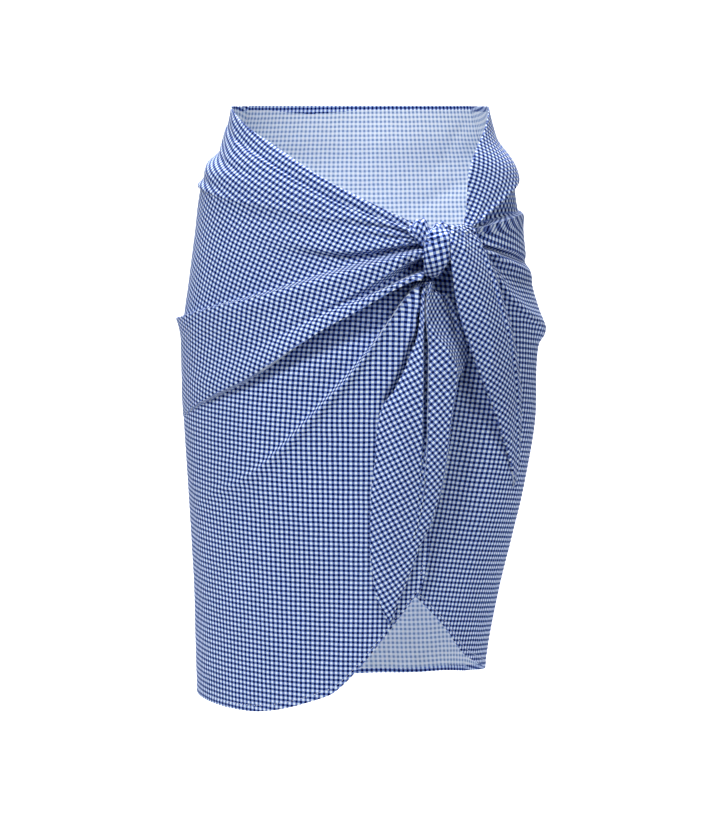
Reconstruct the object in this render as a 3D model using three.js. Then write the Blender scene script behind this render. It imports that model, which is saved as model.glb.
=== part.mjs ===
// A sarong wound round the hips: a back stretch, two front stretches pulled into a tied knot, and the
// knot's two hanging ends. Millimetres, +Z up, the front faces -Y. The origin lies in the middle of the
// hollow, at the height where the knot grips the hips.
import * as THREE from 'three';

const wallThickness = 1.6;
const seamGap = 0.3;
const seamRoom = 0.35; // the facets on the two sides of a seam lie this far from one line
const seamRadius = 140;
const seamAngle = 118;
const backColumns = 20;
const backRows = 32;
const waistTop = 131;
const overWrapColumns = 40;
const underWrapColumns = 28;
const tailColumns = 10;
const backWaveDepth = 3;
const backWaveCount = 4;
const foldTableStep = 2;
const steepestWallFactor = 1.9;
const knotLoopPoints = 22;
const gatherCount = 7;
const gatherDepth = 1.3;

const cloth = { color: 0x5f78b8, roughness: 0.88, metalness: 0 };

function table(columns, rows) {
  const names = columns.split(' ');
  return rows.map((row) => Object.fromEntries(names.map((name, at) => [name, row[at]])));
}

// The hollow inside the cloth, an ellipse at each height.
const bodySections = table('z halfWidth halfDepth centre', [
  [145, 125, 89, 2],
  [131, 131, 93, 2],
  [96, 143, 101, 1],
  [71, 157, 109, 1],
  [46, 165, 115, 0],
  [-4, 170, 123, 0],
  [-55, 178, 129, 1],
  [-93, 183, 131, 1],
  [-131, 184, 132, 0],
  [-181, 183, 131, 0],
  [-269, 174, 126, -4],
  [-320, 167, 122, -8],
  [-372, 159, 118, -12],
  [-424, 153, 115, -16],
  [-500, 147, 112, -20],
]);

// Pull lines of the wrap whose side is at -X: each is one fold crest or foot. seam to end are its
// heights on the way round to the knot or front edge, seamLift to endLift how far it stands off.
const overWrapStations = { seam: -118, side: -90, hip: -40, front: -5 };
const overWrapLines = table('seam side hip front endX end sideLift hipLift frontLift endLift', [
  [131, 131, 97, 49, 66, 10, 0.6, 2, 5, 13], // top edge
  [118, 118, 81, 33, 66, 7, 0.8, 3, 6, 12], // crease inside the edge
  [84, 84, 57, 26, 66, 4, 1, 7, 10, 16], // upper roll
  [48, 48, 33, 19, 66, 1, 4, 7, 10, 17], // upper crest
  [37, 37, 24, 11, 66, -2, 1, 3, 5, 12], // its foot
  [-22, -22, -16, -7, 66, -6, 1, 5, 9, 16], // middle roll
  [-80, -80, -56, -25, 66, -10, 0.6, 3, 5, 10], // valley over the main crest
  [-93, -92, -66, -34, 66, -14, 8, 10, 14, 19], // main crest
  [-108, -107, -82, -48, 66, -20, 3, 7, 13, 19], // under the main crest
  [-150, -148, -116, -62, 65, -26, 1, 6, 13, 20], // lower roll
  [-192, -190, -146, -76, 63, -34, 1, 8, 14, 18], // lower roll's edge
  [-204, -202, -157, -87, 60, -42, 0.6, 3, 4.5, 8], // pocket under it
  [-250, -248, -206, -122, 56, -54, 0.6, 3, 5, 8], // flat below the pocket
  [-292, -290, -252, -158, 56, -70, 0.6, 5, 9, 10], // slanting soft ridge
  [-306, -304, -266, -176, 58, -90, 0.6, 3.5, 5, 6], // its foot
  [-345, -344, -322, -250, 68, -150, 0.6, 3, 4.5, 5.5],
  [-385, -384, -375, -320, 74, -220, 0.6, 3, 4.5, 5],
  [-425, -425, -424, -384, 72, -290, 0.6, 2.6, 4.5, 5],
  [-460, -460, -462, -432, 68, -335, 0.6, 2.4, 4.5, 5],
  [-487, -487, -491, -467, 60, -365, 0.6, 2.4, 4.5, 5], // hem
]);

// The same for the wrap whose side is at +X, which passes under the first one at the front.
const underWrapLines = table('seam side hipAt hip frontAt front endX end sideLift hipLift frontLift endLift', [
  [131, 127, 64, 102, 46, 66, 110, 13, 0.6, 1, 3, 9], // top edge
  [104, 100, 66, 77, 49, 46, 112, 10, 1, 4, 6, 12],
  [62, 60, 66, 46, 52, 31, 113, 7, 3, 5, 8, 13], // first crest
  [52, 50, 67, 38, 53, 25, 113, 4.5, 1, 1.5, 3, 9],
  [27, 25, 68, 25, 54, 20, 113, 2, 2.5, 5, 8, 13], // second crest
  [16, 14, 69, 14, 55, 12, 113, -0.5, 1, 1.5, 3, 9],
  [-6, -6, 69, -5, 56, -2, 113, -3, 1, 4, 7, 12],
  [-31, -31, 70, -24, 57, -13, 113, -6, 0.6, 1, 2.5, 8], // dark valley
  [-44, -43, 69, -36, 57, -25, 113, -9, 1.5, 4, 7, 12],
  [-62, -61, 68, -51, 57, -39, 113, -12.5, 0.8, 1.5, 3, 9],
  [-96, -94, 70, -82, 58, -62, 113, -17, 7, 6, 8, 12], // lowest crest
  [-112, -110, 68, -98, 56, -80, 112, -24, 1.5, 1.5, 3, 7],
  [-150, -150, 64, -142, 44, -112, 74, -52, 0.6, 1, 1.6, 4],
  [-200, -200, 62, -192, 38, -160, 42, -110, 0.6, 0.6, 0.6, 0.6],
  [-260, -260, 60, -250, 36, -222, 24, -180, 0.6, 0.6, 0.6, 0.6],
  [-325, -323, 60, -312, 36, -284, 12, -245, 0.6, 0.6, 0.6, 0.6],
  [-385, -378, 60, -360, 38, -328, 8, -284, 0.6, 0.6, 0.6, 0.6],
  [-430, -422, 60, -398, 39, -362, 14, -310, 0.6, 0.6, 0.6, 0.6],
  [-474, -463, 58, -432, 39, -396, 24, -336, 0.6, 0.6, 0.6, 0.6], // hem
]);

const backHem = table('angle z', [
  [118, -474],
  [135, -480],
  [160, -486],
  [200, -487],
  [242, -487],
]);

// Hanging ends of the cloth: left and right edge, lifts off the body there, and the crown between.
const longTailRows = table('z left right leftLift rightLift crown', [
  [14, 92.5, 116, 26, 14, 1],
  [6, 92.5, 120, 31, 17, 2],
  [-8, 92.5, 126, 34, 19, 3],
  [-26, 93, 134, 32, 19, 5],
  [-48, 95.5, 142, 28, 18, 6],
  [-68, 99, 148, 24, 17, 6],
  [-90, 105, 155, 21, 16.5, 5],
  [-115, 114, 161, 18, 14, 4],
  [-140, 123, 165, 15, 11, 4],
  [-167, 134, 168, 11, 8, 3],
  [-200, 145, 168, 8, 6, 2],
  [-232, 155, 167, 5, 4.5, 1],
  [-254, 160, 165, 4, 4, 0.5],
  [-263, 161, 163.5, 4, 4, 0],
]);
const leafTailRows = table('z left right leftLift rightLift crown pleatAt pleat', [
  [-42.3, 61, 86, 12.5, 15, 0.5, 0.7, 0],
  [-60, 50, 79, 15, 16, 2, 0.7, 2],
  [-78, 43, 70, 16, 14, 2, 0.75, 4],
  [-97, 40, 74, 14, 12, 2, 0.7, 5],
  [-115, 35, 85, 12, 11, 3, 0.6, 5],
  [-131, 31, 95, 11, 10, 4, 0.55, 5],
  [-150, 27, 95, 10, 10, 4, 0.55, 5],
  [-180, 22, 92, 10, 10, 4, 0.56, 4],
  [-215, 17, 87, 10, 10, 4, 0.6, 4],
  [-250, 12, 83, 10, 10, 4, 0.66, 3],
  [-280, 11, 76, 9, 10, 4, 0.7, 2],
  [-310, 11, 64, 9, 9, 4, 0.7, 1],
  [-335, 13, 54, 8, 8, 3, 0.7, 0],
  [-360, 18, 44, 8, 8, 2, 0.7, 0],
  [-382, 26, 36, 8, 8, 1, 0.7, 0],
  [-399, 31.5, 34, 8, 8, 0, 0.7, 0],
]);

// The gathered cloth inside the knot: upright loops on the way from one wrap to the other.
const knotCoreLoops = table('x y z halfDepth halfHeight', [
  [67.1, -118, -3, 10.5, 18],
  [70, -117.5, -2, 13, 19.5],
  [80, -114, -2.5, 13, 17.5],
  [90, -110, -2, 13, 17],
  [101, -106, -1, 14, 16],
  [108, -100, 0, 12, 14],
  [112.2, -97, 0, 8, 11],
]);

// The band that comes over the knot: loops across its own path, over the top, forward and down.
const knotBandLoops = table('x y z lean halfWidth halfThickness', [
  [85, -113, 17.3, 78, 5, 1.6],
  [84.5, -124, 18.5, 60, 7, 3],
  [82, -132, 13, 30, 9, 4.5],
  [80, -136.5, 2, 8, 11.4, 5.5],
  [79.4, -138.4, -10, 0, 12, 6],
  [79.2, -137.4, -22, -12, 11.8, 6],
  [79, -133, -33, -34, 9.5, 5],
  [78.5, -128.5, -39, -60, 6, 3],
]);

function curveThrough(stations, values) {
  const slopes = stations.map((_, at) => {
    if (at === 0 || at === stations.length - 1) return null;
    const before = (values[at] - values[at - 1]) / (stations[at] - stations[at - 1]);
    const after = (values[at + 1] - values[at]) / (stations[at + 1] - stations[at]);
    return before * after <= 0 ? 0 : (2 * before * after) / (before + after);
  });
  const last = stations.length - 1;
  slopes[0] = (values[1] - values[0]) / (stations[1] - stations[0]);
  slopes[last] = (values[last] - values[last - 1]) / (stations[last] - stations[last - 1]);
  return (where) => {
    const inside = Math.min(Math.max(where, stations[0]), stations[last]);
    let at = 0;
    while (at < last - 1 && inside > stations[at + 1]) at += 1;
    const span = stations[at + 1] - stations[at];
    const t = (inside - stations[at]) / span;
    const keepStart = 2 * t ** 3 - 3 * t ** 2 + 1;
    const bendStart = (t ** 3 - 2 * t ** 2 + t) * span;
    const bendEnd = (t ** 3 - t ** 2) * span;
    return keepStart * values[at] + (1 - keepStart) * values[at + 1] + bendStart * slopes[at]
      + bendEnd * slopes[at + 1];
  };
}

function columnCurve(rows, key, column) {
  return curveThrough(rows.map((row) => row[key]), rows.map((row) => row[column]));
}

const sectionsUpward = [...bodySections].reverse();
const halfWidthAt = columnCurve(sectionsUpward, 'z', 'halfWidth');
const halfDepthAt = columnCurve(sectionsUpward, 'z', 'halfDepth');
const centreAt = columnCurve(sectionsUpward, 'z', 'centre');

function bodyPoint({ angle, z, lift }) {
  const turn = THREE.MathUtils.degToRad(angle);
  return new THREE.Vector3(
    centreAt(z) + (halfWidthAt(z) + lift) * Math.sin(turn),
    -(halfDepthAt(z) + lift) * Math.cos(turn),
    z,
  );
}

function angleAtX(x, z, lift) {
  const reach = (x - centreAt(z)) / (halfWidthAt(z) + lift);
  return THREE.MathUtils.radToDeg(Math.asin(THREE.MathUtils.clamp(reach, -1, 1)));
}

// A closed solid from an outer and an inner grid of points, joined along the four edges.
function closedWall(outer, inner) {
  const rows = outer.length;
  const columns = outer[0].length;
  const positions = [...outer.flat(), ...inner.flat()].flatMap((point) => [point.x, point.y, point.z]);
  const innerStart = rows * columns;
  const faces = [];
  const addQuad = (a, b, c, d) => faces.push(a, b, c, a, c, d);
  for (let row = 0; row < rows - 1; row += 1) {
    for (let column = 0; column < columns - 1; column += 1) {
      const a = row * columns + column;
      const b = a + 1;
      const c = a + columns + 1;
      const d = a + columns;
      addQuad(a, d, c, b);
      addQuad(innerStart + a, innerStart + b, innerStart + c, innerStart + d);
    }
  }
  const rim = [];
  for (let column = 0; column < columns - 1; column += 1) rim.push(column);
  for (let row = 0; row < rows - 1; row += 1) rim.push(row * columns + columns - 1);
  for (let column = columns - 1; column > 0; column -= 1) rim.push((rows - 1) * columns + column);
  for (let row = rows - 1; row > 0; row -= 1) rim.push(row * columns);
  rim.forEach((from, at) => {
    const to = rim[(at + 1) % rim.length];
    addQuad(from, to, innerStart + to, innerStart + from);
  });
  const geometry = new THREE.BufferGeometry();
  geometry.setAttribute('position', new THREE.Float32BufferAttribute(positions, 3));
  geometry.setIndex(faces);
  geometry.computeVertexNormals();
  return geometry;
}

// Cloth given by angle, height and lift off the body; the wall is measured square to the cloth.
function clothGeometry(grid) {
  const inside = grid.map((line) => line.map(bodyPoint));
  const outside = grid.map((line, row) => line.map((place, column) => {
    const alongRow = new THREE.Vector3().subVectors(
      inside[row][Math.min(column + 1, line.length - 1)],
      inside[row][Math.max(column - 1, 0)],
    );
    const acrossRows = new THREE.Vector3().subVectors(
      inside[Math.min(row + 1, grid.length - 1)][column],
      inside[Math.max(row - 1, 0)][column],
    );
    const normal = new THREE.Vector3().crossVectors(acrossRows, alongRow).normalize();
    const outward = new THREE.Vector3().subVectors(
      bodyPoint({ ...place, lift: place.lift + 1 }),
      inside[row][column],
    );
    const facing = Math.abs(normal.dot(outward) / outward.length());
    const step = wallThickness * Math.min(1 / Math.max(facing, 0.01), steepestWallFactor);
    return bodyPoint({ ...place, lift: place.lift + step / outward.length() });
  }));
  return closedWall(outside, inside);
}

const stationShares = [0, 0.2, 0.52, 0.78, 1];
const halfSeamGap = THREE.MathUtils.radToDeg((seamGap + seamRoom) / seamRadius / 2);

function stationsOf(line, turn, stations) {
  const endAngle = angleAtX(line.endX, line.end, line.endLift);
  const seamAt = stations.seam + turn * halfSeamGap;
  const hipAt = line.hipAt ?? stations.hip;
  const frontAt = line.frontAt ?? stations.front;
  return {
    angle: curveThrough(stationShares, [seamAt, stations.side, hipAt, frontAt, endAngle]),
    z: curveThrough(stationShares, [line.seam, line.side, line.hip, line.front, line.end]),
    lift: curveThrough(stationShares, [0, line.sideLift, line.hipLift, line.frontLift, line.endLift]),
  };
}

function wrapGrid(lines, stations, columns, turn) {
  const curves = lines.map((line) => stationsOf(line, turn, stations));
  const rowShares = lines.map((_, at) => at);
  const grid = [];
  const rowCount = (lines.length - 1) * foldTableStep + 1;
  for (let row = 0; row < rowCount; row += 1) {
    const line = [];
    for (let column = 0; column <= columns; column += 1) {
      const share = column / columns;
      const read = (name) => curveThrough(rowShares, curves.map((curve) => curve[name](share)))(row / foldTableStep);
      line.push({ angle: read('angle'), z: read('z'), lift: read('lift') });
    }
    grid.push(turn > 0 ? line : line.reverse());
  }
  return grid;
}

function backGrid() {
  const hemAt = columnCurve(backHem, 'angle', 'z');
  const first = seamAngle + halfSeamGap;
  const last = 360 - seamAngle - halfSeamGap;
  const grid = [];
  for (let row = 0; row <= backRows; row += 1) {
    const level = row / backRows;
    const line = [];
    for (let column = 0; column <= backColumns; column += 1) {
      const share = column / backColumns;
      const angle = THREE.MathUtils.lerp(first, last, share);
      const wave = 0.5 - 0.5 * Math.cos(2 * Math.PI * backWaveCount * share);
      const z = THREE.MathUtils.lerp(waistTop, hemAt(angle), level);
      line.push({ angle, z, lift: backWaveDepth * level * wave });
    }
    grid.push(line);
  }
  return grid;
}

function tailGrid(rows) {
  const grid = [];
  const rowCount = (rows.length - 1) * foldTableStep + 1;
  const rowShares = rows.map((_, at) => at);
  for (let row = 0; row < rowCount; row += 1) {
    const read = (column) => curveThrough(rowShares, rows.map((each) => each[column]))(row / foldTableStep);
    const z = read('z');
    const first = angleAtX(read('left'), z, read('leftLift'));
    const last = angleAtX(read('right'), z, read('rightLift'));
    const line = [];
    for (let column = 0; column <= tailColumns; column += 1) {
      const share = column / tailColumns;
      const angle = THREE.MathUtils.lerp(first, last, share);
      const flat = THREE.MathUtils.lerp(read('leftLift'), read('rightLift'), share);
      const crown = read('crown') * Math.sin(Math.PI * share);
      const pleat = rows[0].pleat === undefined ? 0
        : read('pleat') * Math.exp(-(((share - read('pleatAt')) / 0.1) ** 2));
      line.push({ angle, z, lift: flat + crown - pleat });
    }
    grid.push(line);
  }
  return grid;
}

// A closed solid through a row of loops, with both end loops filled.
function loftGeometry(loops) {
  const size = loops[0].length;
  const positions = loops.flat().flatMap((point) => [point.x, point.y, point.z]);
  const faces = [];
  for (let loop = 0; loop < loops.length - 1; loop += 1) {
    for (let at = 0; at < size; at += 1) {
      const a = loop * size + at;
      const b = loop * size + ((at + 1) % size);
      faces.push(a, b, b + size, a, b + size, a + size);
    }
  }
  [0, loops.length - 1].forEach((loop) => {
    const middle = positions.length / 3;
    const centre = loops[loop].reduce((sum, point) => sum.add(point), new THREE.Vector3()).divideScalar(size);
    positions.push(centre.x, centre.y, centre.z);
    for (let at = 0; at < size; at += 1) {
      const a = loop * size + at;
      const b = loop * size + ((at + 1) % size);
      if (loop === 0) faces.push(middle, b, a);
      else faces.push(middle, a, b);
    }
  });
  const geometry = new THREE.BufferGeometry();
  geometry.setAttribute('position', new THREE.Float32BufferAttribute(positions, 3));
  geometry.setIndex(faces);
  geometry.computeVertexNormals();
  return geometry;
}

function knotCoreGeometry() {
  const loops = knotCoreLoops.map((loop, row) => {
    const points = [];
    const inner = row > 0 && row < knotCoreLoops.length - 1;
    for (let at = 0; at < knotLoopPoints; at += 1) {
      const turn = (2 * Math.PI * at) / knotLoopPoints;
      const gather = inner ? gatherDepth * Math.cos(gatherCount * turn + row) : 0;
      points.push(new THREE.Vector3(
        loop.x,
        loop.y + (loop.halfDepth + gather) * Math.cos(turn),
        loop.z + (loop.halfHeight + gather) * Math.sin(turn),
      ));
    }
    return points;
  });
  return loftGeometry(loops);
}

function knotBandGeometry() {
  const loops = knotBandLoops.map((loop) => {
    const points = [];
    const lean = THREE.MathUtils.degToRad(loop.lean);
    for (let at = 0; at < knotLoopPoints; at += 1) {
      const turn = (2 * Math.PI * at) / knotLoopPoints;
      const out = loop.halfThickness * Math.sin(turn);
      points.push(new THREE.Vector3(
        loop.x + loop.halfWidth * Math.cos(turn),
        loop.y - out * Math.cos(lean),
        loop.z + out * Math.sin(lean),
      ));
    }
    return points;
  });
  return loftGeometry(loops);
}

const group = new THREE.Group();

function addPiece(name, geometry) {
  const mesh = new THREE.Mesh(geometry, new THREE.MeshStandardMaterial(cloth));
  mesh.name = name;
  group.add(mesh);
}

addPiece('back', clothGeometry(backGrid()));
addPiece('under_wrap', clothGeometry(wrapGrid(
  underWrapLines,
  { seam: seamAngle, side: 90, hip: 66, front: 50 },
  underWrapColumns,
  -1,
)));
addPiece('over_wrap', clothGeometry(wrapGrid(overWrapLines, overWrapStations, overWrapColumns, 1)));
addPiece('knot_core', knotCoreGeometry());
addPiece('knot_band', knotBandGeometry());
addPiece('long_tail', clothGeometry(tailGrid(longTailRows)));
addPiece('leaf_tail', clothGeometry(tailGrid(leafTailRows)));

export default group;
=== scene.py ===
import math

import bpy
import numpy as np
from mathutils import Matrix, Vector


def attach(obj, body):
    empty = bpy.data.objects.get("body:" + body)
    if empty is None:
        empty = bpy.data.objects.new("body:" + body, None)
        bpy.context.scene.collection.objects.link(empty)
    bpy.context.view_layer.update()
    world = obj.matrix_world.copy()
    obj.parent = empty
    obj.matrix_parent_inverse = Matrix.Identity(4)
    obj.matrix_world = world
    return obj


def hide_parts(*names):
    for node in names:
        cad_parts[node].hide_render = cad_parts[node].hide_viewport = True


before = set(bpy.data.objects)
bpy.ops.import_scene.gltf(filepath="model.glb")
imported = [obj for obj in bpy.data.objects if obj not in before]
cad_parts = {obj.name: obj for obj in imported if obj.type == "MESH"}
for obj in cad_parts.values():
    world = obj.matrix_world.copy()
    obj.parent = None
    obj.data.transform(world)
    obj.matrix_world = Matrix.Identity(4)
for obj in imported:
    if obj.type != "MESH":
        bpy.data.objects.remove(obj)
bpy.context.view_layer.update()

mm = 0.001
scene = bpy.context.scene


# reading tables and curves

def table(columns, rows):
    values = np.array(rows, float)
    return {name: values[:, at] for at, name in enumerate(columns.split())}


def curveThrough(stations, values):
    x = np.asarray(stations, float)
    y = np.asarray(values, float)
    wide = (-1,) + (1,) * (y.ndim - 1)
    rise = np.diff(y, axis=0) / np.diff(x).reshape(wide)
    slope = np.empty_like(y)
    slope[0], slope[-1] = rise[0], rise[-1]
    both, total = rise[:-1] * rise[1:], rise[:-1] + rise[1:]
    slope[1:-1] = np.where(both > 0, 2 * both / np.where(total == 0, 1, total), 0)

    def read(where):
        w = np.clip(np.asarray(where, float), x[0], x[-1])
        at = np.clip(np.searchsorted(x, w, side="right") - 1, 0, len(x) - 2)
        span = x[at + 1] - x[at]
        t = (w - x[at]) / span
        t, span = t.reshape(t.shape + (1,) * (y.ndim - 1)), span.reshape(span.shape + (1,) * (y.ndim - 1))
        keep = 2 * t ** 3 - 3 * t ** 2 + 1
        return (keep * y[at] + (1 - keep) * y[at + 1] + (t ** 3 - 2 * t ** 2 + t) * span * slope[at]
                + (t ** 3 - t ** 2) * span * slope[at + 1])
    return read


def smooth(low, high, value):
    t = np.clip((value - low) / (high - low), 0, 1)
    return t * t * (3 - 2 * t)


def unit(vectors):
    return vectors / np.maximum(np.linalg.norm(vectors, axis=-1, keepdims=True), 1e-9)


# the hollow the cloth is worn round: an ellipse at each height, in millimetres

figure = table("z halfWidth halfDepth centre", [
    [-500, 147, 112, -20],
    [-424, 153, 115, -16],
    [-372, 159, 118, -12],
    [-320, 167, 122, -8],
    [-269, 174, 126, -4],
    [-181, 183, 131, 0],
    [-131, 184, 132, 0],
    [-93, 183, 131, 1],
    [-55, 178, 129, 1],
    [-4, 170, 123, 0],
    [46, 165, 115, 0],
    [71, 157, 109, 1],
    [96, 143, 101, 1],
    [131, 131, 93, 2],
    [145, 125, 89, 2],
])
halfWidthAt = curveThrough(figure["z"], figure["halfWidth"])
halfDepthAt = curveThrough(figure["z"], figure["halfDepth"])
centreAt = curveThrough(figure["z"], figure["centre"])


def figurePoints(angle, z, lift):
    turn = np.radians(angle)
    return np.stack([centreAt(z) + (halfWidthAt(z) + lift) * np.sin(turn),
                     -(halfDepthAt(z) + lift) * np.cos(turn), z + 0 * turn], axis=-1)


def angleAtX(x, z, lift):
    return np.degrees(np.arcsin(np.clip((x - centreAt(z)) / (halfWidthAt(z) + lift), -1, 1)))


def normalsOf(points):
    along, down = np.gradient(points, axis=1), np.gradient(points, axis=0)
    return unit(np.cross(down, along))


def distanceDown(points):
    step = np.linalg.norm(np.diff(points, axis=0), axis=-1)
    return np.concatenate([np.zeros((1, points.shape[1])), np.cumsum(step, axis=0)])


def distanceAlong(points):
    step = np.linalg.norm(np.diff(points, axis=1), axis=-1)
    return np.concatenate([np.zeros((points.shape[0], 1)), np.cumsum(step, axis=1)], axis=1)


# the weave's own coordinates, in millimetres of flat cloth, found by relaxing them over the form

def resample(values, rows, columns):
    atRow = np.linspace(0, values.shape[0] - 1, rows)
    atColumn = np.linspace(0, values.shape[1] - 1, columns)
    r0 = np.minimum(atRow.astype(int), values.shape[0] - 2)
    c0 = np.minimum(atColumn.astype(int), values.shape[1] - 2)
    fr = (atRow - r0)[:, None, None]
    fc = (atColumn - c0)[None, :, None]
    top = values[r0][:, c0] * (1 - fc) + values[r0][:, c0 + 1] * fc
    low = values[r0 + 1][:, c0] * (1 - fc) + values[r0 + 1][:, c0 + 1] * fc
    return top * (1 - fr) + low * fr


relaxing = {
    "smallest": 40,  # rows or columns under which no coarser start is made
    "rounds": 500,
    "firstRounds": 700,
    "softest": 0.1,
    "stiffest": 10,
    "looseShare": 0.98,  # how far the weave lets go where folded cloth is hidden
}


def noPins(shape):
    return np.full(tuple(shape) + (2,), np.nan)


def relaxWeave(points, grain, loose, pins):
    # grain: how far the weft turns down from the rows, in degrees; loose: 0 to 1 where folded cloth hides
    rows, columns = points.shape[:2]
    if min(rows, columns) > relaxing["smallest"]:
        pickRow = np.round(np.linspace(0, rows - 1, (rows + 1) // 2)).astype(int)
        pickColumn = np.round(np.linspace(0, columns - 1, (columns + 1) // 2)).astype(int)
        pick = np.ix_(pickRow, pickColumn)
        start = resample(relaxWeave(points[pick], grain[pick], loose[pick], pins[pick]), rows, columns)
        rounds = relaxing["rounds"]
    else:
        start, rounds = np.zeros((rows, columns, 2)), relaxing["firstRounds"]
    normal = normalsOf(points)
    rowWay = unit(np.gradient(points, axis=1))
    upWay = np.cross(normal, rowWay)
    turn = np.radians(grain)[..., None]
    weft = np.cos(turn) * rowWay - np.sin(turn) * upWay
    warp = np.sin(turn) * rowWay + np.cos(turn) * upWay
    across, down = np.diff(points, axis=1), np.diff(points, axis=0)
    lengthAcross, lengthDown = np.linalg.norm(across, axis=-1), np.linalg.norm(down, axis=-1)
    aimAcross = np.stack([(across * (t[:, 1:] + t[:, :-1]) / 2).sum(-1) for t in (weft, warp)], axis=-1)
    aimDown = np.stack([(down * (t[1:] + t[:-1]) / 2).sum(-1) for t in (weft, warp)], axis=-1)
    meanDown = np.empty((rows, columns))
    meanDown[1:-1] = (lengthDown[1:] + lengthDown[:-1]) / 2
    meanDown[0], meanDown[-1] = lengthDown[0], lengthDown[-1]
    meanAcross = np.empty((rows, columns))
    meanAcross[:, 1:-1] = (lengthAcross[:, 1:] + lengthAcross[:, :-1]) / 2
    meanAcross[:, 0], meanAcross[:, -1] = lengthAcross[:, 0], lengthAcross[:, -1]
    limits = relaxing["softest"], relaxing["stiffest"]
    holdAcross = np.clip((meanDown[:, 1:] + meanDown[:, :-1]) / 2 / lengthAcross, *limits)[..., None]
    holdDown = np.clip((meanAcross[1:] + meanAcross[:-1]) / 2 / lengthDown, *limits)
    holdDown = (holdDown * (1 - relaxing["looseShare"] * (loose[1:] + loose[:-1]) / 2))[..., None]
    held = ~np.isnan(pins)
    weave = np.where(held, np.nan_to_num(pins), start)

    def gather(flowAcross, flowDown):
        total = np.zeros_like(weave)
        total[:, 1:] += flowAcross
        total[:, :-1] -= flowAcross
        total[1:] += flowDown
        total[:-1] -= flowDown
        return total

    def spread(x):
        return gather(holdAcross * np.diff(x, axis=1), holdDown * np.diff(x, axis=0))
    weight = np.zeros((rows, columns, 1))
    weight[:, 1:] += holdAcross
    weight[:, :-1] += holdAcross
    weight[1:] += holdDown
    weight[:-1] += holdDown
    error = gather(holdAcross * aimAcross, holdDown * aimDown) - spread(weave)
    error[held] = 0
    step = eased = error / weight
    worth = (error * eased).sum((0, 1))
    for _ in range(rounds):
        pull = spread(step)
        pull[held] = 0
        size = worth / np.maximum((step * pull).sum((0, 1)), 1e-12)
        weave = weave + size * step
        error = error - size * pull
        eased = error / weight
        worth, before = (error * eased).sum((0, 1)), worth
        step = eased + worth / np.maximum(before, 1e-12) * step
    return weave


# materials

class Socket:
    # one shader value: + - and * on it add their Math nodes
    def __init__(self, tree, link):
        self.tree, self.link = tree, link

    def __add__(self, other):
        return self.tree.maths("ADD", self, other)

    def __radd__(self, other):
        return self.tree.maths("ADD", other, self)

    def __sub__(self, other):
        return self.tree.maths("SUBTRACT", self, other)

    def __rsub__(self, other):
        return self.tree.maths("SUBTRACT", other, self)

    def __mul__(self, other):
        return self.tree.maths("MULTIPLY", self, other)

    def __rmul__(self, other):
        return self.tree.maths("MULTIPLY", other, self)


class Finish:
    # a material's nodes; node() takes a type, its settings and its inputs, and gives its first output
    def __init__(self, name):
        self.material = bpy.data.materials.new(name)
        self.material.use_nodes = True
        self.tree = self.material.node_tree
        self.tree.nodes.clear()

    def node(self, kind, settings=None, inputs=(), output=0):
        made = self.tree.nodes.new(kind)
        for key, value in (settings or {}).items():
            setattr(made, key, value)
        named = inputs.items() if isinstance(inputs, dict) else enumerate(inputs)
        for key, value in named:
            if isinstance(value, Socket):
                self.tree.links.new(value.link, made.inputs[key])
            else:
                made.inputs[key].default_value = value
        return Socket(self, made.outputs[output]) if len(made.outputs) else None

    def maths(self, operation, *values):
        return self.node("ShaderNodeMath", {"operation": operation}, values)

    def softStep(self, *values):
        return self.node("ShaderNodeMapRange", {"interpolation_type": "SMOOTHSTEP"}, values)

    def mix(self, factor, first, second):
        # a Mix node's inputs 6 and 7 are its colours, and output 2 is the mixed colour
        return self.node("ShaderNodeMix", {"data_type": "RGBA"}, {0: factor, 6: first, 7: second}, output=2)

    def parts(self, vector):
        first = self.node("ShaderNodeSeparateXYZ", {}, [vector])
        return [Socket(self, part) for part in first.link.node.outputs]

    def finish(self, settings, inputs):
        shader = self.node("ShaderNodeBsdfPrincipled", settings, inputs)
        self.node("ShaderNodeOutputMaterial", {}, {"Surface": shader})
        return self.material


gingham = {
    "repeat": 5.05,  # mm from one dark stripe to the next
    "phase": 0.25,  # share of the repeat before the first stripe
    "stripeHalf": 0.25,  # half a stripe, as a share of the repeat
    "stripeBlur": 0.035,
    "waver": 0.0009,  # m that a stripe strays, so that none is a ruled line
    "waverScale": 55.0,
    "threads": 0.28,  # mm from thread to thread
    "threadDepth": 0.00006,  # m of relief over one thread
    "threadRelief": 0.5,
    "slubRelief": 0.8,
    "evenShare": 0.72,  # of a single stripe's colour, the part alike over every thread
    "threadShare": 0.28,  # and the part that is only on the thread on top
    "dark": (0.0006, 0.0065, 0.080, 1),
    "middle": (0.031, 0.108, 0.490, 1),
    "light": (0.78, 0.885, 1.0, 1),
    "backDark": (0.205, 0.312, 0.555, 1),
    "backMiddle": (0.61, 0.71, 0.87, 1),
    "backLight": (0.90, 0.915, 0.95, 1),
    "tone": 0.90,
    "fade": 0.12,  # tone that comes and goes over the cloth
    "fadeScale": 9.0,
    "slub": 0.10,  # tone that comes and goes along a thread
    "slubScale": 900.0,
    "bump": 0.5,
    "roughness": 0.85,
    "roughChange": 0.06,
    "sheen": 0.03,
    "backSheen": 0.05,
    "sheenRoughness": 0.45,
    "sheenTint": (0.80, 0.84, 1.0, 1),
    "gloss": 0.08,
}


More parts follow.
